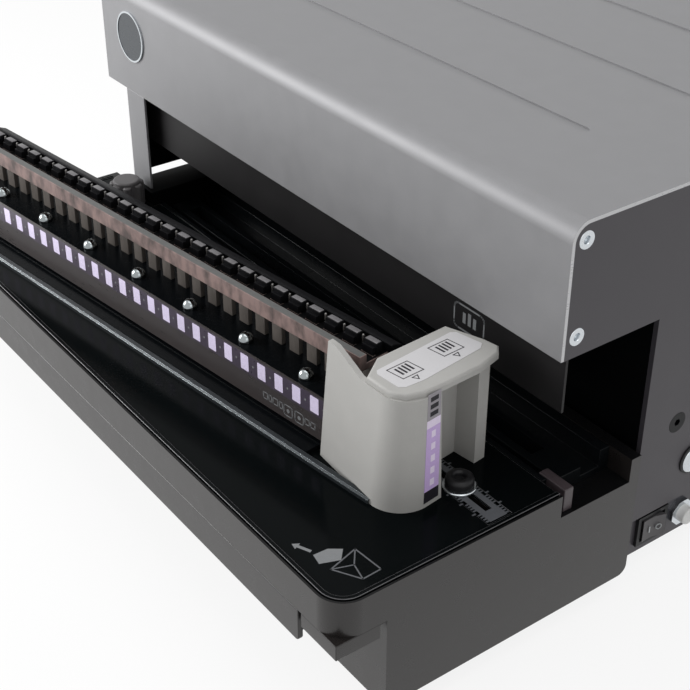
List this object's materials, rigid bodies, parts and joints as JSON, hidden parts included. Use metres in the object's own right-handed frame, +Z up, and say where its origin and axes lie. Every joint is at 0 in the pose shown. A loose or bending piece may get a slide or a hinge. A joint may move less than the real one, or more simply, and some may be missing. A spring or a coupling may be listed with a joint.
{
  "type": "desk_comb_punch",
  "caption": "Electric desk punch for comb bound books, silver head over a dark base with a gloss table and chip drawer; its exchangeable punch die set lies on the table.",
  "frame": {"origin": "Centre of the footprint, on the plane that the feet rest on.", "axes": "+X to the right as seen from the front, +Y to the rear, +Z up."},
  "size_m": [0.476, 0.44, 0.248],
  "materials": {
    "silver_cover": "satin silver-grey paint",
    "dark_panel": "satin dark grey paint",
    "base_plastic": "satin dark grey moulding",
    "gloss_black": "gloss black",
    "black_plastic": "fine matt black",
    "black_metal": "satin black paint",
    "tool_black": "semi-gloss black oxide",
    "retainer_brown": "satin brown-grey",
    "pin_steel": "dark ground steel",
    "bright_steel": "bright drawn steel",
    "zinc": "bright zinc plate",
    "handle_grey": "satin warm light grey",
    "tray_grey": "satin dark tray",
    "stop_brown": "satin brown block",
    "scale_grey": "satin grey strip",
    "button_white": "gloss white",
    "rubber_black": "matt rubber",
    "bush_bronze": "plain bearing bronze",
    "board_green": "board with parts"
  },
  "bodies": {
    "machine": {"base_shell": "base_plastic", "bridge_block": "black_metal", "table_top": "gloss_black", "scale_strip": "scale_grey", "drawer_housing": "base_plastic", "drawer_shelf": "black_metal", "base_floor": "black_plastic", "rubber_feet": "rubber_black", "head_cover": "silver_cover", "side_panel_right": "dark_panel", "side_panel_left": "dark_panel", "cover_screws": "zinc", "frame_screws": "black_metal", "frame_spacers": "pin_steel", "side_cap": "zinc", "badge_disc": "silver_cover", "badge_ring": "zinc", "chassis_pan": "dark_panel", "rear_panel": "dark_panel", "power_inlet": "black_plastic", "left_pillar": "silver_cover", "left_cheek": "black_metal", "throat_guard": "black_metal", "throat_rear_wall": "black_metal", "gear_floor": "black_metal", "press_frame_left": "pin_steel", "press_frame_right": "pin_steel", "rear_beam": "black_metal", "shaft_bushes": "bush_bronze", "ram_gibs": "pin_steel", "motor": "black_plastic", "control_board": "board_green", "board_standoffs": "bright_steel", "switch_bezel": "black_plastic", "breaker_collar": "zinc", "die_channel": "black_metal", "channel_stop": "stop_brown"},
    "chip_tray": {"chip_drawer": "tray_grey", "drawer_front": "base_plastic"},
    "press_shaft": {"drive_shaft": "pin_steel", "eccentrics": "pin_steel", "drive_gear": "bright_steel"},
    "ram": {"ram_bar": "pin_steel", "ram_end_plates": "pin_steel", "ram_yokes": "pin_steel"},
    "motor_rotor": {"motor_pinion": "bright_steel"},
    "edge_guide": {"edge_slide": "bright_steel", "edge_knob_ring": "zinc"},
    "edge_grip": {"edge_knob": "black_plastic"},
    "margin_control": {"margin_knob": "black_plastic"},
    "rocker": {"power_rocker": "black_plastic"},
    "breaker_press": {"breaker_button": "button_white"},
    "die_set": {"die_base": "tool_black", "die_strip": "bright_steel", "die_block": "tool_black", "die_screws": "bright_steel", "die_handle": "handle_grey"},
    "pin_carriage": {"punch_pins": "pin_steel", "pin_retainer": "retainer_brown", "retainer_rail": "retainer_brown"}
  },
  "joints": [
    {"name": "chip_drawer_slide", "type": "slide", "parent": "machine", "child": "chip_tray", "axis": [0, -1, 0], "range_m": [0, 0.186]},
    {"name": "press_shaft_turn", "type": "hinge", "parent": "machine", "child": "press_shaft", "pos_m": [0, -0.04, 0.21], "axis": [1, 0, 0], "range_deg": [-3, 184]},
    {"name": "ram_slide", "type": "slide", "parent": "machine", "child": "ram", "axis": [0, 0, -1], "range_m": [0, 0.012]},
    {"name": "motor_turn", "type": "hinge", "parent": "machine", "child": "motor_rotor", "pos_m": [0, 0.002, 0.21], "axis": [1, 0, 0], "range_deg": [-556, 10]},
    {"name": "edge_guide_slide", "type": "slide", "parent": "machine", "child": "edge_guide", "axis": [1, 0, 0], "range_m": [-0.011, 0.018]},
    {"name": "edge_knob_turn", "type": "hinge", "parent": "edge_guide", "child": "edge_grip", "pos_m": [0.2, -0.1134, 0.097], "axis": [0, 0, 1], "range_deg": [0, 270]},
    {"name": "margin_knob_turn", "type": "hinge", "parent": "machine", "child": "margin_control", "pos_m": [-0.1855, -0.095, 0.1], "axis": [0, 0, 1], "range_deg": [0, 270]},
    {"name": "power_rocker_tip", "type": "hinge", "parent": "machine", "child": "rocker", "pos_m": [0.2264, 0.0115, 0.025], "axis": [0, 0, 1], "range_deg": [0, 16]},
    {"name": "breaker_push", "type": "slide", "parent": "machine", "child": "breaker_press", "axis": [-1, 0, 0], "range_m": [0, 0.003], "stiffness_N_per_m": 600, "springref_m": -0.002},
    {"name": "die_lift", "type": "slide", "parent": "machine", "child": "die_set", "axis": [0, 0, 1], "range_m": [0, 0.12]},
    {"name": "retainer_press", "type": "slide", "parent": "die_set", "child": "pin_carriage", "axis": [0, 0, -1], "range_m": [0, 0.0112]}
  ],
  "couplings": [
    {"joint": "press_shaft_turn", "follows": "ram_slide", "rad_per_m": 261.8},
    {"joint": "motor_turn", "follows": "ram_slide", "rad_per_m": -785.4}
  ]
}
